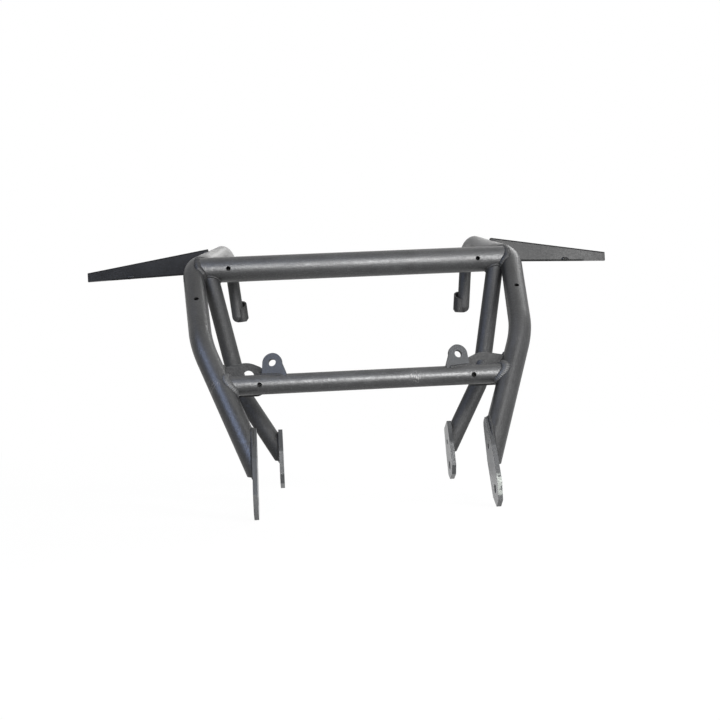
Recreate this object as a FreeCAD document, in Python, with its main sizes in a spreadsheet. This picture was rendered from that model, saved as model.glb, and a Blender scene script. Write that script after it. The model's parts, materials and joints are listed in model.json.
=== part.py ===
import FreeCAD, Part
import math
import os

from FreeCAD import Placement, Rotation, Vector

# Tubular front bumper: two bent side hoops, two cross tubes, rear braces, mount plates and side wings.
# X runs across the vehicle, +Y points back towards it and +Z up. The origin lies on the front bolt axis.

doc = FreeCAD.newDocument("front_bumper")
sheet = doc.addObject("Spreadsheet::Sheet", "sizes")

SIZES = {
    # Tube stock
    "hoop_od": 31.75,
    "hoop_wall": 2.4,
    "arm_od": 19.05,
    "arm_wall": 2.1,
    "upper_od": 38.1,
    "upper_wall": 2.6,
    "lower_od": 26.9,
    "lower_wall": 2.4,
    "brace_od": 25.4,
    "brace_wall": 2.4,
    # Hoop axis: knee, top and arm corner, foot of the leg, and their bends
    "knee_x": 223.5,
    "knee_y": 135.0,
    "knee_z": 204.0,
    "knee_bend": 150.0,
    "top_x": 240.5,
    "top_y": 265.0,
    "top_z": 318.5,
    "top_bend": 60.0,
    "corner_x": 192.0,
    "corner_y": 365.0,
    "corner_z": 363.0,
    "corner_bend": 20.0,
    "foot_x": 180.0,
    "foot_z": 243.0,
    "hoop_end_z": 30.0,
    # Cross tubes and vents; the upper tube's lips stop short of the hoop's axis
    "upper_lip": 9.0,
    "lower_z": 146.0,
    "upper_vent_x": 187.0,
    "lower_vent_x": 145.0,
    "hoop_vent_z": 260.0,
    "vent_bore": 6.8,
    # Rear brace axis
    "brace_top_x": 218.0,
    "brace_knee_x": 177.0,
    "brace_knee_y": 218.0,
    "brace_knee_z": 136.0,
    "brace_bend": 70.0,
    "brace_end_z": 36.0,
    # Front mount plates
    "front_face_x": 157.0,
    "front_thickness": 6.0,
    "front_axis_z": 52.0,
    "front_width": 44.0,
    "front_top_width": 18.0,
    "front_foot_width": 18.0,
    "front_rise": 104.0,
    "front_drop": 21.0,
    "front_taper": 52.0,
    "front_chamfer": 20.0,
    "front_bore": 11.0,
    "front_head_round": 8.0,
    # Rear mount plates
    "rear_face_x": 124.0,
    "rear_thickness": 6.0,
    "rear_axis_y": 180.7,
    "rear_axis_z": 49.7,
    "rear_width": 44.0,
    "rear_top_width": 34.0,
    "rear_foot_width": 22.0,
    "rear_rise": 62.0,
    "rear_drop": 17.0,
    "rear_taper": 34.0,
    "rear_chamfer": 10.0,
    "rear_bore": 11.0,
    "rear_bolt_z": 17.0,
    "rear_head_round": 3.0,
    "drain_bore": 7.0,
    # Tabs on the lower cross tube
    "tab_x": 128.0,
    "tab_width": 27.0,
    "tab_flare": 7.0,
    "tab_thickness": 5.0,
    "tab_rise": 29.5,
    "tab_lean": 18.0,
    "tab_toe": 14.0,
    "tab_bore": 10.5,
    # Gusset plates behind the lower cross tube
    "gusset_inner_x": 138.0,
    "gusset_thickness": 4.0,
    "gusset_rise": 18.0,
    "gusset_drop": 16.0,
    "gusset_corner": 12.0,
    "gusset_fall": 10.0,
    "gusset_crown": 30.0,
    "gusset_bore_x": 160.0,
    "gusset_bore_rise": 12.0,
    "gusset_bore": 15.0,
    # Side wings
    "wing_sheet": 2.5,
    "wing_root_y": 307.0,
    "wing_root_height": 36.0,
    "wing_root_z": 337.0,
    "wing_fold": 14.0,
    "wing_tip_x": 410.0,
    "wing_tip_y": 342.0,
    "wing_tip_z": 322.0,
    "wing_tip_height": 13.5,
    "wing_tip_fold": 8.0,
    "wing_notch_x": 342.0,
    "wing_notch": 7.0,
    # Half-round sockets on the feet of the legs
    "socket_od": 18.0,
    "socket_wall": 2.5,
    "socket_length": 36.0,
    "socket_reach": 16.2,
    "socket_slope": 36.0,
}

# Runs shorter than this are left out
SHORTEST_RUN = 0.001

for row, (alias, value) in enumerate(SIZES.items(), start=1):
    sheet.set("A%d" % row, alias)
    sheet.set("B%d" % row, str(value))
    sheet.setAlias("B%d" % row, alias)
doc.recompute()


def size(alias):
    return float(sheet.get(alias))


def bind(obj, **properties):
    for name, expression in properties.items():
        obj.setExpression(name, expression)
    return obj


def turned_to(direction):
    return Rotation(Vector(0, 0, 1), direction)


# Straight runs joined by tangent arcs, open for a tube's axis and closed for a plate's outline
def rounded_wire(corners, radii, closed=False):
    count = len(corners)
    starts = list(corners)
    ends = list(corners)
    arcs = [None] * count
    for i in range(count):
        if radii[i] <= 0:
            continue
        before = (corners[i - 1] - corners[i]).normalize()
        after = (corners[(i + 1) % count] - corners[i]).normalize()
        half = before.getAngle(after) / 2
        reach = radii[i] / math.tan(half)
        starts[i] = corners[i] + before * reach
        ends[i] = corners[i] + after * reach
        centre = corners[i] + (before + after).normalize() * (radii[i] / math.sin(half))
        middle = centre + (corners[i] - centre).normalize() * radii[i]
        arcs[i] = Part.Arc(starts[i], middle, ends[i]).toShape()
    edges = []
    for i in range(count):
        if arcs[i]:
            edges.append(arcs[i])
        if i + 1 < count or closed:
            following = starts[(i + 1) % count]
            if ends[i].distanceToPoint(following) > SHORTEST_RUN:
                edges.append(Part.makeLine(ends[i], following))
    return Part.Wire(edges)


def add_wire(name, wire):
    path = doc.addObject("Part::Feature", name)
    path.Shape = wire
    return path


def add_cylinder(name, start, direction, radius, height):
    post = bind(doc.addObject("Part::Cylinder", name), Radius=radius)
    if isinstance(height, str):
        bind(post, Height=height)
    else:
        post.Height = height
    post.Placement = Placement(start, turned_to(direction))
    return post


def add_fuse(name, shapes):
    joined = doc.addObject("Part::MultiFuse", name)
    joined.Shapes = shapes
    return joined


# A round bar of straight runs and tangent bends along an axis, with its radius taken from the sheet
def add_bar(name, corners, radii, radius):
    runs = [(after - before).normalize() for before, after in zip(corners, corners[1:])]
    pieces = []
    start = corners[0]
    for i, run in enumerate(runs):
        bend_radius = radii[i + 1]
        turn = run.getAngle(runs[i + 1]) if bend_radius > 0 else 0
        reach = bend_radius * math.tan(turn / 2)
        bend_start = corners[i + 1] - run * reach
        length = (bend_start - start).Length
        if length > SHORTEST_RUN:
            pieces.append(add_cylinder(name + "_run", start, run, radius, length))
        if bend_radius > 0:
            axis = run.cross(runs[i + 1]).normalize()
            outward = run.cross(axis)
            bend = bind(doc.addObject("Part::Torus", name + "_bend"), Radius2=radius)
            bend.Radius1 = bend_radius
            bend.Angle3 = math.degrees(turn)
            bend_turn = Rotation(outward, run, axis, "ZXY")
            bend.Placement = Placement(bend_start - outward * bend_radius, bend_turn)
            pieces.append(bend)
            start = corners[i + 1] + runs[i + 1] * reach
    return add_fuse(name, pieces)


# Each tool is taken away in turn, so that one cut never depends on another tool's shape
def add_cut(name, base, tools):
    for tool in tools:
        cut = doc.addObject("Part::Cut", name)
        cut.Base = base
        cut.Tool = tool
        base = cut
    return base


def add_mirror(name, source):
    mirror = doc.addObject("Part::Mirroring", name)
    mirror.Source = source
    mirror.Normal = Vector(1, 0, 0)
    return mirror


# A block that takes away everything on the far side of a plane
def add_trim(name, point, outward):
    reach = 4 * size("wing_tip_x")
    block = doc.addObject("Part::Box", name)
    block.Length = block.Width = block.Height = reach
    turn = turned_to(outward)
    block.Placement = Placement(point - turn.multVec(Vector(reach / 2, reach / 2, 0)), turn)
    return block


nodes = []


def finish(node, obj):
    obj.Label = node
    nodes.append(obj)


# The right piece and its mirror image on the left
def finish_pair(node, obj):
    finish("right_" + node, obj)
    finish("left_" + node, add_mirror("mirrored_" + node, obj))


# Hoop axis
knee = Vector(size("knee_x"), size("knee_y"), size("knee_z"))
top = Vector(size("top_x"), size("top_y"), size("top_z"))
corner = Vector(size("corner_x"), size("corner_y"), size("corner_z"))
foot = Vector(size("foot_x"), size("corner_y"), size("foot_z"))
front_plane = Vector(size("front_face_x"), size("front_axis_z") * knee.y / knee.z, size("front_axis_z"))
hoop_run = (knee - front_plane).normalize()
hoop_start = front_plane - hoop_run * (4 * size("hoop_od"))
arm_run = (corner - top).normalize()
leg_run = (foot - corner).normalize()
top_reach = size("top_bend") * math.tan((top - knee).getAngle(corner - top) / 2)
corner_reach = size("corner_bend") * math.tan((corner - top).getAngle(foot - corner) / 2)
neck_start = top + arm_run * top_reach
neck_end = corner - arm_run * corner_reach
foot_centre = foot - leg_run * (size("arm_od") / 2)


# One solid bar of the hoop: full tube, swaged neck, narrow arm and leg, domed foot
def add_hoop_bar(name, inset_full, inset_arm):
    full_radius = "sizes.hoop_od / 2 - " + inset_full
    arm_radius = "sizes.arm_od / 2 - " + inset_arm
    side = add_bar(
        name + "_side",
        [hoop_start, knee, top, neck_start],
        [0, size("knee_bend"), size("top_bend"), 0],
        full_radius,
    )
    neck = doc.addObject("Part::Cone", name + "_neck")
    bind(neck, Radius1=full_radius, Radius2=arm_radius)
    neck.Height = (neck_end - neck_start).Length
    neck.Placement = Placement(neck_start, turned_to(arm_run))
    leg = add_bar(
        name + "_leg",
        [neck_end, corner, foot_centre],
        [0, size("corner_bend"), 0],
        arm_radius,
    )
    dome = bind(doc.addObject("Part::Sphere", name + "_dome"), Radius=arm_radius)
    dome.Placement = Placement(foot_centre, Rotation())
    return add_fuse(name, [side, neck, leg, dome])


hoop_bar = add_hoop_bar("hoop_bar", "0", "0")
hoop_bore = add_hoop_bar("hoop_bore", "sizes.hoop_wall", "sizes.arm_wall")
left_hoop_bar = add_mirror("left_hoop_bar", hoop_bar)


def hoop_axis_at(height, low, high):
    return low + (high - low) * ((height - low.z) / (high.z - low.z))


vent_point = hoop_axis_at(size("hoop_vent_z"), knee, top)
vent_normal = Vector(1, 0, 0).cross(top - knee).normalize() * -1
if vent_normal.y > 0:
    vent_normal = vent_normal * -1
hoop_vent = add_cylinder("hoop_vent", vent_point, vent_normal, "sizes.vent_bore / 2", "sizes.hoop_od")
hoop = add_cut(
    "hoop",
    hoop_bar,
    [
        hoop_bore,
        hoop_vent,
        add_trim("hoop_plate_trim", front_plane, Vector(-1, 0, 0)),
        add_trim("hoop_end_trim", Vector(0, 0, size("hoop_end_z")), Vector(0, 0, -1)),
    ],
)
finish_pair("hoop_tube", hoop)


# A cross tube runs from hoop to hoop and is coped round each of them
def add_cross_tube(name, end, lip, od, wall, vent_x):
    half = end.x - lip
    start = Vector(-half, end.y, end.z)
    run = Vector(1, 0, 0)
    length = 2 * half
    outer = add_cylinder(name + "_bar", start, run, "sizes.%s / 2" % od, length)
    bore = add_cylinder(name + "_bore", start, run, "sizes.%s / 2 - sizes.%s" % (od, wall), length)
    vents = [
        add_cylinder(
            name + "_vent",
            Vector(side * size(vent_x), end.y, end.z),
            Vector(0, -1, 0),
            "sizes.vent_bore / 2",
            "sizes." + od,
        )
        for side in (1, -1)
    ]
    finish(name, add_cut(name + "_tube", outer, [bore, hoop_bar, left_hoop_bar] + vents))
    return outer


lower_end = hoop_axis_at(size("lower_z"), front_plane, knee)
upper_lip = size("upper_lip")
upper_bar = add_cross_tube("upper_cross_tube", top, upper_lip, "upper_od", "upper_wall", "upper_vent_x")
lower_bar = add_cross_tube("lower_cross_tube", lower_end, 0, "lower_od", "lower_wall", "lower_vent_x")

# Rear braces, coped under the upper cross tube and cut flat on the rear plates
rear_plane = Vector(size("rear_face_x"), size("rear_axis_y"), size("rear_axis_z"))
brace_top = Vector(size("brace_top_x"), size("top_y"), size("top_z"))
brace_knee = Vector(size("brace_knee_x"), size("brace_knee_y"), size("brace_knee_z"))
brace_run = (brace_knee - rear_plane).normalize()
brace_end = rear_plane - brace_run * (4 * size("brace_od"))
brace_axis = [brace_top, brace_knee, brace_end]
brace_radii = [0, size("brace_bend"), 0]
brace_bar = add_bar("brace_bar", brace_axis, brace_radii, "sizes.brace_od / 2")
brace_bore = add_bar("brace_bore", brace_axis, brace_radii, "sizes.brace_od / 2 - sizes.brace_wall")
brace = add_cut(
    "brace",
    brace_bar,
    [
        brace_bore,
        upper_bar,
        hoop_bar,
        add_trim("brace_plate_trim", rear_plane, Vector(-1, 0, 0)),
        add_trim("brace_end_trim", Vector(0, 0, size("brace_end_z")), Vector(0, 0, -1)),
    ],
)
finish_pair("rear_brace", brace)


# Mount plate: a lean outline with a tapered head and a chamfered foot, in line with its tube
def add_mount_plate(prefix, plane, run, bolt):
    rise = Vector(0, run.y, run.z).normalize()
    across = Vector(0, rise.z, -rise.y)
    wide = size(prefix + "_width") / 2
    head = size(prefix + "_top_width") / 2
    heel = size(prefix + "_foot_width") / 2
    high = size(prefix + "_rise")
    low = -size(prefix + "_drop")
    shoulder = high - size(prefix + "_taper")
    chamfer = low + size(prefix + "_chamfer")
    outline = [
        (heel, low),
        (wide, chamfer),
        (wide, shoulder),
        (head, high),
        (-head, high),
        (-wide, shoulder),
        (-wide, chamfer),
        (-heel, low),
    ]
    corners = [bolt + across * u + rise * v for u, v in outline]
    head_round = size(prefix + "_head_round")
    radii = [0, 0, wide, head_round, head_round, wide, 0, 0]
    edge = add_wire(prefix + "_outline", rounded_wire(corners, radii, closed=True))
    slab = doc.addObject("Part::Extrusion", prefix + "_slab")
    slab.Base = edge
    slab.DirMode = "Custom"
    slab.Dir = Vector(-1, 0, 0)
    slab.Solid = True
    bind(slab, LengthFwd="sizes.%s_thickness" % prefix)
    thickness = size(prefix + "_thickness")
    inside = Vector(-2 * thickness, 0, 0)
    through = "4 * sizes.%s_thickness" % prefix
    outward = Vector(1, 0, 0)
    bolt_radius = "sizes.%s_bore / 2" % prefix
    bolt_hole = add_cylinder(prefix + "_bolt", bolt + inside, outward, bolt_radius, through)
    drain = add_cylinder(prefix + "_drain", plane + inside, outward, "sizes.drain_bore / 2", through)
    finish_pair(prefix + "_mount_plate", add_cut(prefix + "_plate", slab, [bolt_hole, drain]))


def bolt_below(plane, run, height):
    return Vector(plane.x, plane.y + (height - plane.z) * run.y / run.z, height)


add_mount_plate("front", front_plane, hoop_run, bolt_below(front_plane, hoop_run, 0))
add_mount_plate("rear", rear_plane, brace_run, bolt_below(rear_plane, brace_run, size("rear_bolt_z")))

# Tabs: round-topped ears with one flared side, leaning back on the crown of the lower cross tube
tab_half = size("tab_width") / 2
tab_turn = Rotation(Vector(0, 0, 1), size("tab_toe")) * Rotation(Vector(1, 0, 0), -size("tab_lean"))
tab_root = Vector(size("tab_x"), lower_end.y, lower_end.z + size("lower_od") / 2)
tab_rise = size("tab_rise")
tab_sink = size("lower_od") / 2


def tab_point(u, v):
    return tab_root + tab_turn.multVec(Vector(u, -size("tab_thickness") / 2, v))


tab_outline = [
    tab_point(tab_half, -tab_sink),
    tab_point(tab_half, tab_rise),
    tab_point(-tab_half, tab_rise),
    tab_point(-tab_half, tab_rise - tab_half),
    tab_point(-tab_half - size("tab_flare"), 0),
    tab_point(-tab_half - size("tab_flare"), -tab_sink),
]
tab_edge = add_wire("tab_outline", rounded_wire(tab_outline, [0, tab_half, tab_half, 0, 0, 0], closed=True))
tab_slab = doc.addObject("Part::Extrusion", "tab_slab")
tab_slab.Base = tab_edge
tab_slab.DirMode = "Custom"
tab_slab.Dir = tab_turn.multVec(Vector(0, 1, 0))
tab_slab.Solid = True
bind(tab_slab, LengthFwd="sizes.tab_thickness")
tab_hole = add_cylinder(
    "tab_hole",
    tab_point(0, tab_rise - tab_half) - tab_turn.multVec(Vector(0, size("tab_thickness"), 0)),
    tab_turn.multVec(Vector(0, 1, 0)),
    "sizes.tab_bore / 2",
    "3 * sizes.tab_thickness",
)
finish_pair("lamp_tab", add_cut("tab", tab_slab, [tab_hole, lower_bar]))

# Gussets: flat plates against the back of the lower cross tube, filling the angle to the hoop
gusset_front = lower_end.y + size("lower_od") / 2
gusset_top = lower_end.z + size("lower_od") / 2 + size("gusset_rise")
gusset_low = lower_end.z - size("gusset_drop")
gusset_inner = size("gusset_inner_x")
gusset_outer = lower_end.x
gusset_outline = [
    Vector(gusset_inner, gusset_front, gusset_low),
    Vector(gusset_outer, gusset_front, gusset_low),
    Vector(gusset_outer + size("hoop_od") / 2, gusset_front, gusset_top - size("gusset_fall")),
    Vector(size("gusset_bore_x"), gusset_front, gusset_top),
    Vector(gusset_inner, gusset_front, gusset_top - size("gusset_fall")),
]
gusset_radii = [size("gusset_corner"), 0, 0, size("gusset_crown"), size("gusset_corner")]
gusset_edge = add_wire("gusset_outline", rounded_wire(gusset_outline, gusset_radii, closed=True))
gusset_slab = doc.addObject("Part::Extrusion", "gusset_slab")
gusset_slab.Base = gusset_edge
gusset_slab.DirMode = "Custom"
gusset_slab.Dir = Vector(0, 1, 0)
gusset_slab.Solid = True
bind(gusset_slab, LengthFwd="sizes.gusset_thickness")
gusset_bore_z = lower_end.z + size("gusset_bore_rise")
gusset_hole = add_cylinder(
    "gusset_hole",
    Vector(size("gusset_bore_x"), gusset_front - size("gusset_thickness"), gusset_bore_z),
    Vector(0, 1, 0),
    "sizes.gusset_bore / 2",
    "3 * sizes.gusset_thickness",
)
finish_pair("gusset_plate", add_cut("gusset", gusset_slab, [gusset_hole, hoop_bar]))


# Wings: sheet folded into a shallow channel that tapers from the arm to its tip
arm_share = (size("wing_root_y") - top.y) / (corner.y - top.y)
arm_point = top + (corner - top) * arm_share
wing_root = Vector(arm_point.x, size("wing_root_y"), size("wing_root_z"))
wing_tip = Vector(size("wing_tip_x"), size("wing_tip_y"), size("wing_tip_z"))
wing_sweep = wing_tip - wing_root


# A block that tapers from the wing's root to its tip, set in from the sheet's outside by an inset
def add_wing_block(name, inset, back):
    block = doc.addObject("Part::Wedge", name)
    block.Ymin = 0
    block.Ymax = wing_sweep.x
    bind(
        block,
        Xmin="-sizes.wing_fold - " + back,
        Xmax="-" + inset,
        Zmin="-sizes.wing_root_height / 2 + " + inset,
        Zmax="sizes.wing_root_height / 2 - " + inset,
        X2min="-%g - sizes.wing_tip_fold - %s" % (wing_sweep.y, back),
        X2max="-%g - %s" % (wing_sweep.y, inset),
        Z2min="%g - sizes.wing_tip_height / 2 + %s" % (wing_sweep.z, inset),
        Z2max="%g + sizes.wing_tip_height / 2 - %s" % (wing_sweep.z, inset),
    )
    block.Placement = Placement(wing_root, Rotation(Vector(0, 0, 1), -90))
    return block


wing_block = add_wing_block("wing_block", "0", "0")
wing_hollow = add_wing_block("wing_hollow", "sizes.wing_sheet", "sizes.wing_sheet")
notch_share = (size("wing_notch_x") - wing_root.x) / (wing_tip.x - wing_root.x)
notch_height = size("wing_root_height") + (size("wing_tip_height") - size("wing_root_height")) * notch_share
notch_point = wing_root + (wing_tip - wing_root) * notch_share - Vector(0, 0, notch_height / 2)
wing_notch = add_cylinder(
    "wing_notch_cut",
    notch_point - Vector(0, size("wing_sheet"), 0),
    Vector(0, 1, 0),
    "sizes.wing_notch / 2",
    "2 * sizes.wing_sheet",
)
finish_pair("wing", add_cut("wing_channel", wing_block, [wing_hollow, hoop_bar, wing_notch]))

# Sockets: half-round sleeves open at the top, seated on the inner side of each leg's foot
inward = Vector(0, 1, 0).cross(leg_run).normalize()
if inward.x > 0:
    inward = inward * -1
socket_low = foot + inward * (size("socket_reach") - size("socket_od") / 2)
socket_bar = add_cylinder(
    "socket_bar",
    socket_low,
    leg_run * -1,
    "sizes.socket_od / 2",
    "sizes.socket_length",
)
socket_bore = add_cylinder(
    "socket_bore",
    socket_low,
    leg_run * -1,
    "sizes.socket_od / 2 - sizes.socket_wall",
    "sizes.socket_length",
)
slope = Rotation(Vector(1, 0, 0), size("socket_slope"))
socket_mouth = socket_low - leg_run * (size("socket_length") - size("socket_od") / 2)
socket_trim = add_trim("socket_trim", socket_mouth, slope.multVec(leg_run * -1))
socket_heel = add_trim("socket_heel", socket_low + inward * (size("socket_od") / 4), inward + leg_run)
finish_pair("leg_socket", add_cut("socket", socket_bar, [socket_bore, hoop_bar, socket_trim, socket_heel]))

doc.recompute()

faults = [obj.Name for obj in doc.Objects if "Invalid" in obj.State or "Error" in obj.State]
faults += [obj.Label for obj in nodes if obj.Shape.isNull() or not obj.Shape.isValid()]
faults += [obj.Label for obj in nodes if len(obj.Shape.Solids) != 1]
if faults:
    raise RuntimeError("not built: " + ", ".join(faults))

os.makedirs("parts", exist_ok=True)
for obj in nodes:
    obj.Shape.exportStep("parts/%s.step" % obj.Label)
    print("%-24s %10.0f mm3  faces %d" % (obj.Label, obj.Shape.Volume, len(obj.Shape.Faces)))
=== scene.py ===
import bpy
import json
import math
from mathutils import Matrix, Vector
from mathutils.bvhtree import BVHTree


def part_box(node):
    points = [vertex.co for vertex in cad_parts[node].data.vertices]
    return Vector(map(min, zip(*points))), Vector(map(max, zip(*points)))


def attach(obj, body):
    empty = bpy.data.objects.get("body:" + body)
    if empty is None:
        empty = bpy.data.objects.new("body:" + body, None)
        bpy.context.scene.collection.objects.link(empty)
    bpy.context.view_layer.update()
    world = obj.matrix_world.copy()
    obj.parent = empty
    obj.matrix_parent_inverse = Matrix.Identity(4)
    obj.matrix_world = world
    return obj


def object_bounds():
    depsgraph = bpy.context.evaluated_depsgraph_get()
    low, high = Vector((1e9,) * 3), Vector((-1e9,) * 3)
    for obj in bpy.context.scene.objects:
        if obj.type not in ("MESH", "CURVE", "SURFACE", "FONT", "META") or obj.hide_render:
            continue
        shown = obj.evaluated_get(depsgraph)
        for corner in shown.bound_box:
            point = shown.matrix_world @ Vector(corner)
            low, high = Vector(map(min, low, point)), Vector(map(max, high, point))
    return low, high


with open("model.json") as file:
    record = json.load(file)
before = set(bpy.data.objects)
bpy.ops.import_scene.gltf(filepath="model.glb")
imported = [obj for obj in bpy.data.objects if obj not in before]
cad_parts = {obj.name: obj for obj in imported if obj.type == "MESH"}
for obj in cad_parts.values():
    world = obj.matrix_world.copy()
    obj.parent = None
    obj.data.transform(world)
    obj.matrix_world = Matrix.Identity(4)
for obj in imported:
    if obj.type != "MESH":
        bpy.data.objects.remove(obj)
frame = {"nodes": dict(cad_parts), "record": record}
cad_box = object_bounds()
nodes = frame["nodes"]
mounts = {mount["name"]: mount for mount in frame["record"]["mounts"]}

# All lengths are in metres. The points of the tubes and the wing are those of the right-hand side,
# and the left-hand side is its mirror image.

# Axis points of the tubes
HOOP_KNEE = Vector((0.2235, 0.135, 0.204))
HOOP_TOP = Vector((0.2405, 0.265, 0.3185))
BRACE_TOP = Vector((0.218, 0.265, 0.3185))
BRACE_KNEE = Vector((0.177, 0.218, 0.136))
FRONT_SEAT = Vector((0.157, 0.034412, 0.052))
REAR_SEAT = Vector((0.124, 0.1807, 0.0497))
LOWER_END = Vector((0.1975, 0.096618, 0.146))

# Tube radii, how far the upper tube's lips stop short of the hoop's axis, and the widest gap
# that the weld there closes
HOOP_RADIUS = 0.015875
UPPER_RADIUS = 0.01905
LOWER_RADIUS = 0.01345
BRACE_RADIUS = 0.0127
UPPER_LIP = 0.009
UPPER_LIP_GAP = 0.014

# Heights at which the tubes' feet are cut off level, and the drains in the mount plates
HOOP_END_HEIGHT = 0.030
BRACE_END_HEIGHT = 0.036
DRAIN_RADIUS = 0.0035

# Lamp tab: how far its root lies below the hole, and half the width of the root's weld
TAB_ROOT_DROP = 0.009
TAB_ROOT_HALF = 0.0125

# Gusset: the groove where it touches the lower tube, above and behind the tube's axis, and its
# face behind the tube, whose outer edge meets the hoop, with heights from the tube's axis
GROOVE_RISE = 0.0116
GROOVE_BACK = 0.01095
GROOVE_INSET = 0.004
GROOVE_END_X = 0.181
GUSSET_BACK = 0.0042
GUSSET_EDGE_X = 0.170
GUSSET_EDGE_LOW = -0.013
GUSSET_EDGE_HIGH = 0.026

# Wing: where the middle of its flat face starts and ends, with half its height there,
# the painted shade along its edges, the lip and the notch in its lower edge, and the root's weld
WING_ROOT = Vector((0.2201, 0.307, 0.337))
WING_TIP = Vector((0.410, 0.342, 0.322))
WING_ROOT_HALF = 0.018
WING_TIP_HALF = 0.00675
WING_RIM = 0.0021
WING_RIM_FULL = 0.00147
WING_TIP_RIM = 0.00126
WING_TIP_RIM_FULL = 0.00063
WING_LIP_END_X = 0.374
WING_NOTCH_X = 0.342
WING_NOTCH_RISE = 0.0022
WING_NOTCH_HALF = 0.003
WING_WELD_SHARE = 0.72
WING_SET_BACK = 0.05


# ---- Materials ----

# Sockets of the Mix node in its colour mode
MIX_SHARE, MIX_FIRST, MIX_SECOND, MIX_RESULT = 0, 6, 7, 2


def add_node(tree, kind, inputs=None, **settings):
    node = tree.nodes.new(kind)
    for name, value in settings.items():
        setattr(node, name, value)
    for name, value in (inputs or {}).items():
        if isinstance(value, bpy.types.NodeSocket):
            tree.links.new(value, node.inputs[name])
        else:
            node.inputs[name].default_value = value
    return node


def calculate(tree, operation, first, second=0.0):
    return add_node(tree, "ShaderNodeMath", {0: first, 1: second}, operation=operation).outputs[0]


def plus(tree, first, second):
    return calculate(tree, "ADD", first, second)


def times(tree, first, second):
    return calculate(tree, "MULTIPLY", first, second)


def larger(tree, first, second):
    return calculate(tree, "MAXIMUM", first, second)


def spread(tree, value, low, high, to_low=0.0, to_high=1.0):
    inputs = {
        "Value": value, "From Min": low, "From Max": high, "To Min": to_low, "To Max": to_high
    }
    return add_node(tree, "ShaderNodeMapRange", inputs).outputs["Result"]


def axis_of(tree, vector, axis):
    return add_node(tree, "ShaderNodeSeparateXYZ", {0: vector}).outputs[axis]


def distance(tree, first, second):
    inputs = {0: first, 1: second}
    return add_node(tree, "ShaderNodeVectorMath", inputs, operation="DISTANCE").outputs["Value"]


def blend_colours(tree, share, first, second):
    inputs = {MIX_SHARE: share, MIX_FIRST: first, MIX_SECOND: second}
    return add_node(tree, "ShaderNodeMix", inputs, data_type="RGBA").outputs[MIX_RESULT]


def grain(tree, place, scale, detail=2.0, distortion=0.0):
    inputs = {"Vector": place, "Scale": scale, "Detail": detail, "Distortion": distortion}
    return add_node(tree, "ShaderNodeTexNoise", inputs).outputs["Fac"]


# A grey whose blue is raised or lowered, and its green by a share of that
GREEN_SHARE = 0.4


def grey(value, blue=1.0):
    return (value, value * (1 + (blue - 1) * GREEN_SHARE), value * blue, 1.0)


# Grain of the powder coat: scales per metre, and where in the noise each effect sets in and is full
CLOUD_SCALE = 16.0
PEBBLE_SCALE = 330.0
FLECK_SCALE = 640.0
CLOUD_EDGES = (0.35, 0.68)
PATCH_EDGES = (0.3, 0.7)
PEBBLE_EDGES = (0.35, 0.65)
LIGHT_FLECK_EDGES = (0.55, 0.72)
DARK_FLECK_EDGES = (0.44, 0.30)

# Dust: how far up a face looks where it sets in and is full, and thin dust as a share of thick
UPWARD_EDGES = (0.45, 1.0)
THIN_DUST = 0.4

# Tones as shares of the coat's own: clouds, flecks and cut edges
CLOUD_TONES = (0.78, 1.22)
LIGHT_FLECK_TONE = 3.6
DARK_FLECK_TONE = 0.25
CUT_EDGE_TONE = 0.36

# How strongly each effect shows: flecks, painted arm highlight, scratches and bare metal
LIGHT_FLECK_SHARE = 0.45
DARK_FLECK_SHARE = 0.6
PAINTED_HIGHLIGHT_SHARES = (0.45, 0.75)
SCUFF_SHARE = 0.85
METAL_SHARE = 0.9

# Roughness that the clouds and the pebbles add, and the relief of pebbles and flecks
CLOUD_ROUGHNESS = (-0.05, 0.06)
PEBBLE_ROUGHNESS = 0.06
PEBBLE_RELIEF = 0.8
FLECK_RELIEF = 0.2
RELIEF_STRENGTH = 0.55
RELIEF_DEPTH = 0.0006

# What lies on the coat or shows through it, with painted highlight and painted shade: colour and
# added roughness
DUST = (grey(0.26, 0.97), 0.25)
# Painted highlight on the arms' tops
PAINTED_ARM_HIGHLIGHT = (grey(0.38, 0.99), 0.0)
PRIMER = (grey(0.30, 0.96), 0.14)
# Painted shade for the wing's edges and the walls of the plates' holes
PAINTED_SHADE = (grey(0.003), 0.45)
BARE_STEEL = ((0.36, 0.38, 0.36, 1.0), -0.12)

# Marks left by handling on the coat: place, reach and the direction of the scratches in degrees
HOOP_SCUFF = (Vector((-0.2065, 0.0865, 0.1465)), 0.013, 35)
CROSS_TUBE_SCUFF = (Vector((0.066, 0.0845, 0.1475)), 0.012, 80)
SCRATCH_SCALE = (900, 900, 110)
SCRATCH_EDGES = (0.56, 0.66)

# Depths and heights where the painted highlight on the arms' tops sets in, and the depths
# at which they turn dull
ARM_HIGHLIGHT_DEPTHS = (0.267, 0.295)
ARM_HIGHLIGHT_HEIGHTS = (0.333, 0.345)
LEG_DULL_DEPTHS = (0.325, 0.350)
LEG_DULLNESS = 0.2

# Mount plates: how little a cut edge faces sideways, the painted shade on the wall of a hole as
# shares of its radius, and the chips by the bolt hole: heights from it, the way they face, and
# their grain
CUT_EDGE_TURN = (0.75, 0.45)
BORE_WALL = (1.10, 1.03)
CHIPS_START = (-0.007, -0.004)
CHIPS_END = (0.022, 0.016)
CHIPS_TURN = (-0.5, -0.7)
CHIP_SCALE = 260.0
CHIP_EDGES = (0.40, 0.50)


# Patches of fine parallel scratches round one place
def scuff_mask(tree, place, scuff):
    centre, reach, turn = scuff
    near = spread(tree, distance(tree, place, centre), reach, reach / 4)
    stretched = add_node(
        tree,
        "ShaderNodeMapping",
        {"Vector": place, "Rotation": (0, math.radians(turn), 0), "Scale": SCRATCH_SCALE},
    ).outputs["Vector"]
    lines = spread(tree, grain(tree, stretched, 1.0, detail=3.0), *SCRATCH_EDGES)
    return times(tree, near, lines)
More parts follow.
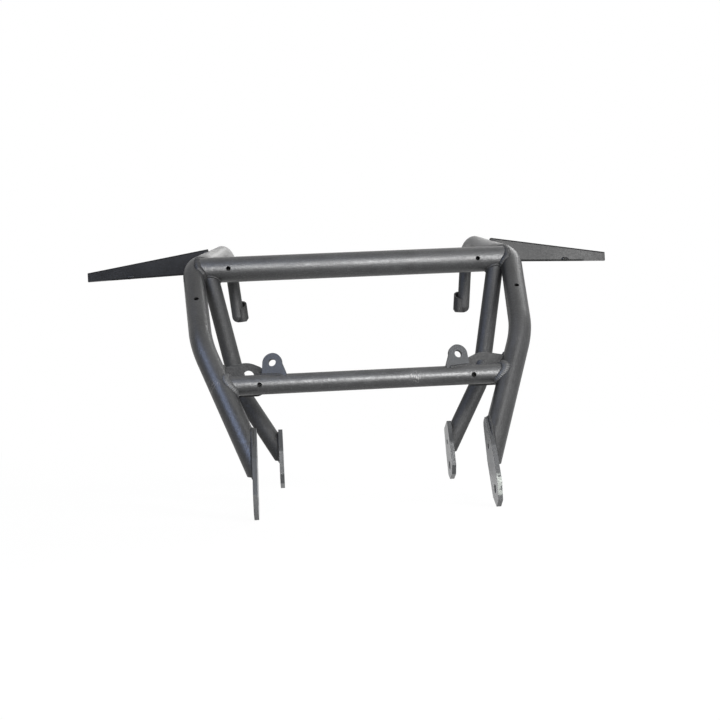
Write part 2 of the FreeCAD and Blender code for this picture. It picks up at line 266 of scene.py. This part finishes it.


# Satin powder coat: fine pebbled grain, faint clouds of tone, dust on the upper sides.
# The last five say where a piece has painted shade, cut edges, bare metal, a duller coat
# or a painted highlight.
def powder_coat(
    name, tone, roughness, gloss_level, texture=1.0, blue=1.05, dust=0.12, scuffs=(),
    rim=None, cut=None, bare=None, dull=None, painted_highlight=None,
):
    material = bpy.data.materials.new(name)
    material.use_nodes = True
    tree = material.node_tree
    shader = tree.nodes["Principled BSDF"]
    shader.inputs["Specular IOR Level"].default_value = gloss_level
    place = add_node(tree, "ShaderNodeTexCoord").outputs["Object"]
    facing = add_node(tree, "ShaderNodeNewGeometry").outputs["Normal"]
    clouds = grain(tree, place, CLOUD_SCALE, detail=4.0, distortion=0.4)
    pebbles = grain(tree, place, PEBBLE_SCALE)
    flecks = grain(tree, place, FLECK_SCALE, detail=1.0)

    darker, lighter = (grey(tone * share, blue) for share in CLOUD_TONES)
    colour = blend_colours(tree, spread(tree, clouds, *CLOUD_EDGES), darker, lighter)
    gloss = spread(tree, clouds, *PATCH_EDGES, *(roughness + more for more in CLOUD_ROUGHNESS))
    pebbled = PEBBLE_ROUGHNESS * texture
    gloss = plus(tree, gloss, spread(tree, pebbles, *PEBBLE_EDGES, -pebbled, pebbled))
    if dull:
        gloss = plus(tree, gloss, times(tree, dull(tree, place), LEG_DULLNESS))

    # Layers from the coat's own flecks outwards: where they show, colour, added roughness
    light_flecks = spread(tree, flecks, *LIGHT_FLECK_EDGES, 0.0, LIGHT_FLECK_SHARE * texture)
    dark_flecks = spread(tree, flecks, *DARK_FLECK_EDGES, 0.0, DARK_FLECK_SHARE * texture)
    upward = spread(tree, axis_of(tree, facing, "Z"), *UPWARD_EDGES)
    dusty = times(tree, upward, spread(tree, clouds, *PATCH_EDGES, dust * THIN_DUST, dust))
    layers = [
        (light_flecks, grey(tone * LIGHT_FLECK_TONE, blue), 0.0),
        (dark_flecks, grey(tone * DARK_FLECK_TONE), 0.0),
        (dusty, *DUST),
    ]
    # The painted highlight on the arms' tops, patchy with the clouds
    if painted_highlight:
        patchy = spread(tree, clouds, *PATCH_EDGES, *PAINTED_HIGHLIGHT_SHARES)
        layers.append((times(tree, painted_highlight(tree, place), patchy), *PAINTED_ARM_HIGHLIGHT))
    for scuff in scuffs:
        scratched = times(tree, scuff_mask(tree, place, scuff), SCUFF_SHARE)
        layers.append((scratched, *PRIMER))
    if cut:
        layers.append((cut(tree, facing), grey(tone * CUT_EDGE_TONE, blue), 0.0))
    # Painted shade along the wing's edges and on the walls of the plates' holes
    if rim:
        layers.append((rim(tree, place), *PAINTED_SHADE))
    if bare:
        metal = bare(tree, place, facing)
        layers.append((metal, *BARE_STEEL))
        tree.links.new(times(tree, metal, METAL_SHARE), shader.inputs["Metallic"])
    for share, layer_colour, rougher in layers:
        colour = blend_colours(tree, share, colour, layer_colour)
        if rougher:
            gloss = plus(tree, gloss, times(tree, share, rougher))

    relief = plus(
        tree, times(tree, pebbles, PEBBLE_RELIEF), times(tree, flecks, FLECK_RELIEF)
    )
    bump = add_node(
        tree,
        "ShaderNodeBump",
        {"Strength": RELIEF_STRENGTH * texture, "Distance": RELIEF_DEPTH, "Height": relief},
    )
    tree.links.new(colour, shader.inputs["Base Color"])
    tree.links.new(gloss, shader.inputs["Roughness"])
    tree.links.new(bump.outputs["Normal"], shader.inputs["Normal"])
    return material


# Painted shade along the wing's narrow edges: along the top, at the tip, and below as far as
# the folded lip goes
def wing_edge_painted_shade(tree, place):
    out = calculate(tree, "ABSOLUTE", axis_of(tree, place, "X"))
    middle = spread(tree, out, WING_ROOT.x, WING_TIP.x, WING_ROOT.z, WING_TIP.z)
    half = spread(tree, out, WING_ROOT.x, WING_TIP.x, WING_ROOT_HALF, WING_TIP_HALF)
    off = calculate(tree, "SUBTRACT", axis_of(tree, place, "Z"), middle)
    from_top = calculate(tree, "SUBTRACT", half, off)
    above = spread(tree, from_top, WING_RIM, WING_RIM_FULL)
    below = spread(tree, plus(tree, half, off), WING_RIM, WING_RIM_FULL)
    on_lip = spread(tree, out, WING_LIP_END_X, WING_LIP_END_X - WING_RIM)
    end = spread(tree, out, WING_TIP.x - WING_TIP_RIM, WING_TIP.x - WING_TIP_RIM_FULL)
    return larger(tree, larger(tree, above, times(tree, below, on_lip)), end)


# The arms and legs behind the upper tube, where the coat went on thinner and dried duller
def shaded_leg(tree, place):
    return spread(tree, axis_of(tree, place, "Y"), *LEG_DULL_DEPTHS)


# Painted highlight: the top of the arms painted pale where light falls on them
def arm_top_painted_highlight(tree, place):
    on_arm = spread(tree, axis_of(tree, place, "Y"), *ARM_HIGHLIGHT_DEPTHS)
    return times(tree, on_arm, spread(tree, axis_of(tree, place, "Z"), *ARM_HIGHLIGHT_HEIGHTS))


# The mount plates' cut edges, where the coat is thin over the dark scale
def cut_edges(tree, facing):
    sideways = calculate(tree, "ABSOLUTE", axis_of(tree, facing, "X"))
    return spread(tree, sideways, *CUT_EDGE_TURN)


# Painted shade on the walls of the holes through the mount plates, seen along x
def bore_wall_painted_shade(tree, place):
    bolts = [mounts["right_front_bolt"], mounts["right_rear_bolt"]]
    bores = [(Vector(bolt["pos_m"]), bolt["dims"]["r_mm"] / 1000) for bolt in bolts]
    bores += [(FRONT_SEAT, DRAIN_RADIUS), (REAR_SEAT, DRAIN_RADIUS)]
    flat = add_node(
        tree, "ShaderNodeVectorMath", {0: place, 1: (0, 1, 1)}, operation="MULTIPLY"
    ).outputs["Vector"]
    inside = 0.0
    for centre, radius in bores:
        away = distance(tree, flat, Vector((0, centre.y, centre.z)))
        wall = spread(tree, away, *(radius * share for share in BORE_WALL))
        inside = larger(tree, wall, inside)
    return inside


# Bright metal where the coat has chipped off the front edge of the right plate, by its bolt hole
def chipped_edge(tree, place, facing):
    bolt_height = mounts["right_front_bolt"]["pos_m"][2]
    from_bolt = calculate(tree, "SUBTRACT", axis_of(tree, place, "Z"), bolt_height)
    on_right = spread(tree, axis_of(tree, place, "X"), 0.0, 0.01)
    on_edge = spread(tree, axis_of(tree, facing, "Y"), *CHIPS_TURN)
    outside = calculate(tree, "SUBTRACT", 1.0, bore_wall_painted_shade(tree, place))
    span = times(tree, spread(tree, from_bolt, *CHIPS_START), spread(tree, from_bolt, *CHIPS_END))
    chips = spread(tree, grain(tree, place, CHIP_SCALE), *CHIP_EDGES)
    for share in (on_right, on_edge, outside, span):
        chips = times(tree, chips, share)
    return chips


cross_tube_coat = powder_coat(
    "cross_tube_coat", tone=0.016, roughness=0.44, gloss_level=0.48, scuffs=(CROSS_TUBE_SCUFF,)
)
# The hoops carry the painted highlight on the arms' tops
hoop_coat = powder_coat(
    "hoop_coat", tone=0.012, roughness=0.40, gloss_level=0.35, scuffs=(HOOP_SCUFF,),
    dull=shaded_leg, painted_highlight=arm_top_painted_highlight,
)
brace_coat = powder_coat("brace_coat", tone=0.012, roughness=0.58, gloss_level=0.25)
# The mount plates carry painted shade on the walls of their holes
plate_coat = powder_coat(
    "plate_coat", tone=0.085, roughness=0.30, gloss_level=0.5, texture=0.3, blue=1.1,
    cut=cut_edges, rim=bore_wall_painted_shade,
)
front_plate_coat = powder_coat(
    "front_plate_coat", tone=0.085, roughness=0.28, gloss_level=0.5, texture=0.3, blue=1.1,
    cut=cut_edges, rim=bore_wall_painted_shade, bare=chipped_edge,
)
tab_coat = powder_coat(
    "tab_coat", tone=0.020, roughness=0.48, gloss_level=0.24, texture=0.5, blue=1.2
)
gusset_coat = powder_coat("gusset_coat", tone=0.009, roughness=0.52, gloss_level=0.18)
socket_coat = powder_coat("socket_coat", tone=0.008, roughness=0.62, gloss_level=0.25)
# The wing carries painted shade along its edges
wing_coat = powder_coat(
    "wing_coat", tone=0.008, roughness=0.38, gloss_level=0.15, texture=0.55, dust=0.04,
    rim=wing_edge_painted_shade,
)
weld_coat = powder_coat("weld_coat", tone=0.010, roughness=0.58, gloss_level=0.26)
bright_weld_coat = powder_coat(
    "bright_weld_coat", tone=0.022, roughness=0.52, gloss_level=0.42, texture=0.6
)

# The coat of a node by the end of its name; the first that fits counts
COATS = {
    "cross_tube": cross_tube_coat,
    "hoop_tube": hoop_coat,
    "brace": brace_coat,
    "front_mount_plate": front_plate_coat,
    "mount_plate": plate_coat,
    "lamp_tab": tab_coat,
    "gusset_plate": gusset_coat,
    "leg_socket": socket_coat,
    "wing": wing_coat,
}
for name, node in nodes.items():
    coat = next(coat for ending, coat in COATS.items() if name.endswith(ending))
    node.data.materials.clear()
    node.data.materials.append(coat)


# ---- Weld beads ----

# Rays that look for a joint: points round a tube or along a face, how squarely a ray has to meet
# the surface, the way back from the upper tube's rim, and the distance of a ray from its face
TOE_STEPS = 120
FACE_STEPS = 14
ROOT_STEPS = 12
LEAST_SQUARE = 0.12
LIP_SET_BACK = 0.03
FACE_CLEARANCE = 0.0004

# Ripples of a bead: lean, length as a share of the pitch, uneven size, and the faces of each
RIPPLE_LEAN = math.radians(9)
RIPPLE_LENGTH = 1.6
RIPPLE_SIZES = (0.92, 1.08)
RIPPLE_SEGMENTS = 8
RIPPLE_RINGS = 6


def surface_of(*names):
    points = []
    faces = []
    for name in names:
        mesh = nodes[name].data
        first = len(points)
        points.extend(vertex.co.copy() for vertex in mesh.vertices)
        faces.extend([first + index for index in face.vertices] for face in mesh.polygons)
    return BVHTree.FromPolygons(points, faces)


def mirrored(point, side):
    return Vector((point.x * side, point.y, point.z))


def between(first, last, count):
    return [first.lerp(last, step / (count - 1)) for step in range(count)]


# The line where a round tube, running up to a joint, meets a surface, as stretches of (place, lift)
def tube_toe(joint, run, radius, surface, set_back, reach, lowest=-1.0):
    start = joint - run * set_back
    across = run.orthogonal().normalized()
    other = run.cross(across)
    stretches = [[]]
    for step in range(TOE_STEPS + 1):
        angle = 2 * math.pi * step / TOE_STEPS
        outward = across * math.cos(angle) + other * math.sin(angle)
        place, normal, _, _ = surface.ray_cast(start + outward * radius, run, reach)
        if place is None or normal.dot(run) > -LEAST_SQUARE or place.z < lowest:
            stretches.append([])
            continue
        stretches[-1].append((place, (outward + normal).normalized()))
    if len(stretches) > 1 and stretches[0] and stretches[-1]:
        stretches[0] = stretches.pop() + stretches[0][1:]
    return [stretch for stretch in stretches if len(stretch) > 2]


# The line round the end of a tube along x that stops short of the surface above and below
def lip_toe(end, run, radius, surface, gap):
    stretch = []
    for step in range(TOE_STEPS + 1):
        angle = 2 * math.pi * step / TOE_STEPS
        outward = Vector((0, math.cos(angle), math.sin(angle)))
        rim = end + outward * radius
        place, normal, _, _ = surface.ray_cast(rim - run * LIP_SET_BACK, run, LIP_SET_BACK)
        if place is None:
            touch, normal, _, away = surface.find_nearest(rim)
            place = (rim + touch) / 2 if away < gap else rim
        stretch.append((place, (outward + normal).normalized()))
    return [stretch]


# The line where a flat face meets a surface, found by rays from points along the face
def face_toe(points, run, outward, surface, reach):
    stretch = []
    for point in points:
        place, normal, _, _ = surface.ray_cast(point, run, reach)
        if place is not None:
            stretch.append((place, (outward + normal).normalized()))
    return [stretch] if len(stretch) > 2 else []


def upper_tube_seams(side, word):
    outward = Vector((side, 0, 0))
    end = mirrored(HOOP_TOP, side) - outward * UPPER_LIP
    return lip_toe(end, outward, UPPER_RADIUS, surface_of(word + "hoop_tube"), UPPER_LIP_GAP)


def lower_tube_seams(side, word):
    hoop = surface_of(word + "hoop_tube")
    joint = mirrored(LOWER_END, side)
    return tube_toe(joint, Vector((side, 0, 0)), LOWER_RADIUS, hoop, set_back=0.04, reach=0.06)


# The brace's top under the upper tube and against the hoop
def brace_seams(side, word):
    joint = mirrored(BRACE_TOP, side)
    run = (joint - mirrored(BRACE_KNEE, side)).normalized()
    above = surface_of("upper_cross_tube", word + "hoop_tube")
    return tube_toe(joint, run, BRACE_RADIUS, above, set_back=0.06, reach=0.07)


# The feet of the hoop and of the brace on their plates
def mount_plate_seams(side, word):
    seat = mirrored(FRONT_SEAT, side)
    run = (seat - mirrored(HOOP_KNEE, side)).normalized()
    plate = surface_of(word + "front_mount_plate")
    front = tube_toe(
        seat, run, HOOP_RADIUS, plate, set_back=0.075, reach=0.14, lowest=HOOP_END_HEIGHT
    )
    seat = mirrored(REAR_SEAT, side)
    run = (seat - mirrored(BRACE_KNEE, side)).normalized()
    plate = surface_of(word + "rear_mount_plate")
    rear = tube_toe(
        seat, run, BRACE_RADIUS, plate, set_back=0.055, reach=0.11, lowest=BRACE_END_HEIGHT
    )
    return front + rear


# Both faces of the tab on the crown of the lower tube
def tab_seams(word):
    lower_tube = surface_of("lower_cross_tube")
    hole = mounts[word + "lamp_tab_hole"]
    axis = Vector(hole["axis"]).normalized()
    across = Vector((0, 0, 1)).cross(axis).normalized()
    down = across.cross(axis)
    root = Vector(hole["pos_m"]) + down * TAB_ROOT_DROP
    half_sheet = hole["dims"]["length_mm"] / 2000
    half_width = across * TAB_ROOT_HALF
    stretches = []
    for facing in (axis, -axis):
        middle = root + facing * (half_sheet + FACE_CLEARANCE)
        points = between(middle - half_width, middle + half_width, ROOT_STEPS)
        stretches += face_toe(points, down, facing, lower_tube, reach=0.03)
    return stretches


# The gusset in the groove behind the lower tube, and up its edge on the hoop
def gusset_seams(side, word):
    low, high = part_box(word + "gusset_plate")
    inner_x = min(abs(low.x), abs(high.x)) + GROOVE_INSET
    groove_y = LOWER_END.y + GROOVE_BACK
    groove_z = LOWER_END.z + GROOVE_RISE
    groove = between(
        Vector((inner_x * side, groove_y, groove_z)),
        Vector((GROOVE_END_X * side, groove_y, groove_z)),
        ROOT_STEPS,
    )
    up_and_forward = Vector((0, -0.3, 0.95))
    back_y = LOWER_END.y + LOWER_RADIUS + GUSSET_BACK
    edge = between(
        Vector((GUSSET_EDGE_X * side, back_y, LOWER_END.z + GUSSET_EDGE_LOW)),
        Vector((GUSSET_EDGE_X * side, back_y, LOWER_END.z + GUSSET_EDGE_HIGH)),
        FACE_STEPS,
    )
    outward = Vector((side, 0, 0))
    hoop = surface_of(word + "hoop_tube")
    stretches = [[(point, up_and_forward) for point in groove]]
    return stretches + face_toe(edge, outward, Vector((0, 1, 0)), hoop, reach=0.06)


def bracket_seams(side, word):
    return tab_seams(word) + gusset_seams(side, word)


# The way along a wing to its root, and the way that its flat face looks
def wing_directions(side):
    run = (mirrored(WING_ROOT, side) - mirrored(WING_TIP, side)).normalized()
    return run, Vector((-run.y, run.x, 0)) * side


# The wing's root on the arm
def wing_seams(side, word):
    run, front = wing_directions(side)
    middle = mirrored(WING_ROOT, side) - run * WING_SET_BACK + front * FACE_CLEARANCE
    rise = Vector((0, 0, WING_ROOT_HALF * WING_WELD_SHARE))
    points = between(middle - rise, middle + rise, FACE_STEPS)
    return face_toe(points, run, front, surface_of(word + "hoop_tube"), reach=0.08)


# A blob of weld over the notch in the wing's lower edge
def wing_notch_seams(side, word):
    run, front = wing_directions(side)
    share = (WING_NOTCH_X - WING_ROOT.x) / (WING_TIP.x - WING_ROOT.x)
    half = WING_ROOT_HALF + (WING_TIP_HALF - WING_ROOT_HALF) * share
    notch = mirrored(WING_ROOT.lerp(WING_TIP, share), side)
    notch.z -= half - WING_NOTCH_RISE
    return [[(notch + run * step, front) for step in (-WING_NOTCH_HALF, 0.0, WING_NOTCH_HALF)]]


def seam_object(name, stretches):
    points = []
    edges = []
    lifts = []
    for stretch in stretches:
        first = len(points)
        points.extend(place for place, _ in stretch)
        lifts.extend(lift for _, lift in stretch)
        edges.extend((first + step, first + step + 1) for step in range(len(stretch) - 1))
    mesh = bpy.data.meshes.new(name)
    mesh.from_pydata(points, edges, [])
    attribute = mesh.attributes.new("lift", "FLOAT_VECTOR", "POINT")
    attribute.data.foreach_set("vector", [number for lift in lifts for number in lift])
    seam = bpy.data.objects.new(name, mesh)
    bpy.context.scene.collection.objects.link(seam)
    return seam


# Overlapping ripples laid along every seam, each leaning back on the one before it
def make_bead_tree():
    tree = bpy.data.node_groups.new("weld_bead", "GeometryNodeTree")
    sockets = tree.interface
    sockets.new_socket("Seam", in_out="INPUT", socket_type="NodeSocketGeometry")
    for name in ("Ripple pitch", "Bead width", "Bead height", "Ripple lean"):
        sockets.new_socket(name, in_out="INPUT", socket_type="NodeSocketFloat")
    sockets.new_socket("Seed", in_out="INPUT", socket_type="NodeSocketInt")
    sockets.new_socket("Coat", in_out="INPUT", socket_type="NodeSocketMaterial")
    sockets.new_socket("Bead", in_out="OUTPUT", socket_type="NodeSocketGeometry")
    given = tree.nodes.new("NodeGroupInput").outputs
    result = tree.nodes.new("NodeGroupOutput").inputs

    line = add_node(tree, "GeometryNodeMeshToCurve", {"Mesh": given["Seam"]}).outputs["Curve"]
    spaced = add_node(
        tree,
        "GeometryNodeResampleCurve",
        {"Curve": line, "Length": given["Ripple pitch"]},
        mode="LENGTH",
    ).outputs["Curve"]
    ripple = add_node(
        tree,
        "GeometryNodeMeshUVSphere",
        {"Segments": RIPPLE_SEGMENTS, "Rings": RIPPLE_RINGS, "Radius": 1.0},
    ).outputs["Mesh"]

    # Each ripple lies along the seam, stands on the joint and leans back
    tangent = tree.nodes.new("GeometryNodeInputTangent").outputs["Tangent"]
    lift = add_node(
        tree, "GeometryNodeInputNamedAttribute", {"Name": "lift"}, data_type="FLOAT_VECTOR"
    ).outputs["Attribute"]
    along = add_node(
        tree, "FunctionNodeAlignRotationToVector", {"Vector": tangent}, axis="X"
    ).outputs["Rotation"]
    upright = add_node(
        tree,
        "FunctionNodeAlignRotationToVector",
        {"Rotation": along, "Vector": lift},
        axis="Z",
        pivot_axis="X",
    ).outputs["Rotation"]
    turn = add_node(tree, "ShaderNodeCombineXYZ", {"Y": given["Ripple lean"]}).outputs["Vector"]
    lean = add_node(tree, "FunctionNodeEulerToRotation", {"Euler": turn}).outputs["Rotation"]
    leaning = add_node(
        tree,
        "FunctionNodeRotateRotation",
        {"Rotation": upright, "Rotate By": lean},
        rotation_space="LOCAL",
    ).outputs["Rotation"]

    length = times(tree, given["Ripple pitch"], RIPPLE_LENGTH)
    half_width = times(tree, given["Bead width"], 0.5)
    shape = add_node(
        tree,
        "ShaderNodeCombineXYZ",
        {"X": length, "Y": half_width, "Z": given["Bead height"]},
    ).outputs["Vector"]
    uneven = add_node(
        tree,
        "FunctionNodeRandomValue",
        {"Min": RIPPLE_SIZES[0], "Max": RIPPLE_SIZES[1], "Seed": given["Seed"]},
        data_type="FLOAT",
    )
    size = next(socket for socket in uneven.outputs if socket.enabled)
    shape = add_node(
        tree, "ShaderNodeVectorMath", {0: shape, "Scale": size}, operation="SCALE"
    ).outputs["Vector"]

    placed = add_node(
        tree,
        "GeometryNodeInstanceOnPoints",
        {"Points": spaced, "Instance": ripple, "Rotation": leaning, "Scale": shape},
    ).outputs["Instances"]
    solid = add_node(tree, "GeometryNodeRealizeInstances", {"Geometry": placed})
    smooth = add_node(
        tree, "GeometryNodeSetShadeSmooth", {"Geometry": solid.outputs["Geometry"]}
    ).outputs["Geometry"]
    coated = add_node(
        tree, "GeometryNodeSetMaterial", {"Geometry": smooth, "Material": given["Coat"]}
    )
    tree.links.new(coated.outputs["Geometry"], result["Bead"])
    return tree


bead_tree = make_bead_tree()


def lay_weld(name, find_seams, pitch, width, height, seed, slot, coat):
    stretches = find_seams(1, "right_") + find_seams(-1, "left_")
    seam = seam_object(name + "_seam", stretches)
    modifier = seam.modifiers.new("bead", "NODES")
    modifier.node_group = bead_tree
    values = {
        "Ripple pitch": pitch,
        "Bead width": width,
        "Bead height": height,
        "Ripple lean": RIPPLE_LEAN,
        "Seed": seed,
        "Coat": coat,
    }
    for item in bead_tree.interface.items_tree:
        if item.in_out == "INPUT" and item.name in values:
            modifier[item.identifier] = values[item.name]
    depsgraph = bpy.context.evaluated_depsgraph_get()
    mesh = bpy.data.meshes.new_from_object(seam.evaluated_get(depsgraph))
    bpy.data.objects.remove(seam)
    bead = bpy.data.objects.new(name, mesh)
    bpy.context.scene.collection.objects.link(bead)
    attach(bead, "root")


# Name, seams, ripple pitch, bead width and height, seed, slot and coat
BEADS = (
    ("upper_tube_welds", upper_tube_seams, 0.0034, 0.0105, 0.0036, 3, "tube_coat", weld_coat),
    (
        "lower_tube_welds", lower_tube_seams, 0.0026, 0.0125, 0.0038, 4, "tube_coat",
        bright_weld_coat,
    ),
    ("brace_welds", brace_seams, 0.0026, 0.0044, 0.0013, 6, "tube_coat", weld_coat),
    ("mount_plate_welds", mount_plate_seams, 0.0026, 0.0062, 0.0020, 5, "plate_coat", weld_coat),
    ("bracket_welds", bracket_seams, 0.0024, 0.0050, 0.0017, 7, "plate_coat", weld_coat),
    ("wing_welds", wing_seams, 0.0024, 0.0048, 0.0016, 9, "wing_coat", weld_coat),
    ("wing_notch_welds", wing_notch_seams, 0.0020, 0.0064, 0.0024, 11, "wing_coat", wing_coat),
)
for bead_values in BEADS:
    lay_weld(*bead_values)


# ---- Studio ----

# The photograph's viewpoint: place, heading to the right, tilt down and roll, with the lens
# for a square frame
CAMERA_PLACE = Vector((-0.10706, -1.39555, 0.16780))
CAMERA_HEADING = math.radians(3.801)
CAMERA_TILT = math.radians(-0.2005)
CAMERA_ROLL = math.radians(2.718)
CAMERA_LENS = 55.03

# Lamps: place, width and height, power in watts, colour, and the kind of ray that misses the lamp
WHITE = (1, 1, 1)
SKY_BLUE = (0.50, 0.63, 1.0)
LAMPS = {
    "key": ((0.28, -1.75, 0.90), (1.0, 0.6), 30, WHITE, None),
    "window": ((0.29, -1.76, 0.66), (1.1, 0.95), 74, WHITE, "visible_diffuse"),
    "side_wall": ((1.62, -1.42, 0.56), (0.9, 0.9), 56, WHITE, None),
    "skylight": ((-1.18, -0.82, 1.38), (1.1, 0.9), 36, SKY_BLUE, "visible_diffuse"),
    "top_right": ((0.87, -0.64, 1.65), (0.6, 0.6), 9, WHITE, None),
    "back_right": ((0.99, 1.18, 1.34), (0.6, 0.6), 9, WHITE, None),
    "back_strip": ((0.0, 1.75, 1.35), (1.4, 0.5), 24, WHITE, "visible_glossy"),
}

# The surroundings' even light, and the floor: half its side, its finish, and how white it is
# from near the object to far off
EVEN_LIGHT = 0.12
FLOOR_REACH = 30.0
FLOOR_GREY = (0.86, 0.86, 0.86, 1)
FLOOR_ROUGHNESS = 0.9
FLOOR_FADE = (0.45, 1.5)
FLOOR_WHITENESS = (0.95, 1.0)

scene = bpy.context.scene
middle = (cad_box[0] + cad_box[1]) / 2

forward = Vector(
    (
        math.sin(CAMERA_HEADING) * math.cos(CAMERA_TILT),
        math.cos(CAMERA_HEADING) * math.cos(CAMERA_TILT),
        -math.sin(CAMERA_TILT),
    )
)
level = Vector((math.cos(CAMERA_HEADING), -math.sin(CAMERA_HEADING), 0))
down = forward.cross(level)
right = level * math.cos(CAMERA_ROLL) + down * math.sin(CAMERA_ROLL)
up = level * math.sin(CAMERA_ROLL) - down * math.cos(CAMERA_ROLL)
camera_data = bpy.data.cameras.new("camera")
camera_data.lens = CAMERA_LENS
camera_data.dof.use_dof = False
camera = bpy.data.objects.new("camera", camera_data)
turned = Matrix((right, up, -forward)).transposed().to_4x4()
camera.matrix_world = Matrix.Translation(CAMERA_PLACE) @ turned
scene.collection.objects.link(camera)
scene.camera = camera

for name, (place, (width, height), power, colour, missed_by) in LAMPS.items():
    light = bpy.data.lights.new(name, "AREA")
    light.shape = "RECTANGLE"
    light.size = width
    light.size_y = height
    light.energy = power
    light.color = colour
    lamp = bpy.data.objects.new(name, light)
    lamp.location = place
    lamp.rotation_euler = (middle - Vector(place)).to_track_quat("-Z", "Y").to_euler()
    lamp.visible_camera = False
    if missed_by:
        setattr(lamp, missed_by, False)
    scene.collection.objects.link(lamp)


# Where the camera, a reflection or a clear piece looks at the surroundings
def seen_share(tree):
    path = tree.nodes.new("ShaderNodeLightPath")
    seen = larger(tree, path.outputs["Is Camera Ray"], path.outputs["Is Glossy Ray"])
    return larger(tree, seen, path.outputs["Is Transmission Ray"])


# White surroundings where they are seen, and a low even light elsewhere
world = bpy.data.worlds.new("studio")
scene.world = world
world.use_nodes = True
sky = world.node_tree
background = sky.nodes["Background"]
background.inputs["Color"].default_value = (1, 1, 1, 1)
strength = spread(sky, seen_share(sky), 0.0, 1.0, EVEN_LIGHT, 1.0)
sky.links.new(strength, background.inputs["Strength"])

# A pale floor under the object, nearly white where it is seen, which keeps a faint shadow
floor_mesh = bpy.data.meshes.new("floor")
corners = [(x * FLOOR_REACH, y * FLOOR_REACH) for x, y in ((-1, -1), (1, -1), (1, 1), (-1, 1))]
floor_mesh.from_pydata([(x, y, cad_box[0].z) for x, y in corners], [], [(0, 1, 2, 3)])
floor = bpy.data.objects.new("floor", floor_mesh)
scene.collection.objects.link(floor)
floor_finish = bpy.data.materials.new("floor")
floor_finish.use_nodes = True
floor_tree = floor_finish.node_tree
matt = floor_tree.nodes["Principled BSDF"]
matt.inputs["Base Color"].default_value = FLOOR_GREY
matt.inputs["Roughness"].default_value = FLOOR_ROUGHNESS
white = add_node(floor_tree, "ShaderNodeEmission", {"Color": (1, 1, 1, 1), "Strength": 1.0})
floor_place = add_node(floor_tree, "ShaderNodeTexCoord").outputs["Object"]
from_middle = distance(floor_tree, floor_place, middle)
whiteness = spread(floor_tree, from_middle, *FLOOR_FADE, *FLOOR_WHITENESS)
mixed = add_node(
    floor_tree,
    "ShaderNodeMixShader",
    {
        0: times(floor_tree, seen_share(floor_tree), whiteness),
        1: matt.outputs["BSDF"],
        2: white.outputs["Emission"],
    },
)
surface = floor_tree.nodes["Material Output"].inputs["Surface"]
floor_tree.links.new(mixed.outputs["Shader"], surface)
floor_mesh.materials.append(floor_finish)

scene.view_settings.view_transform = "Standard"
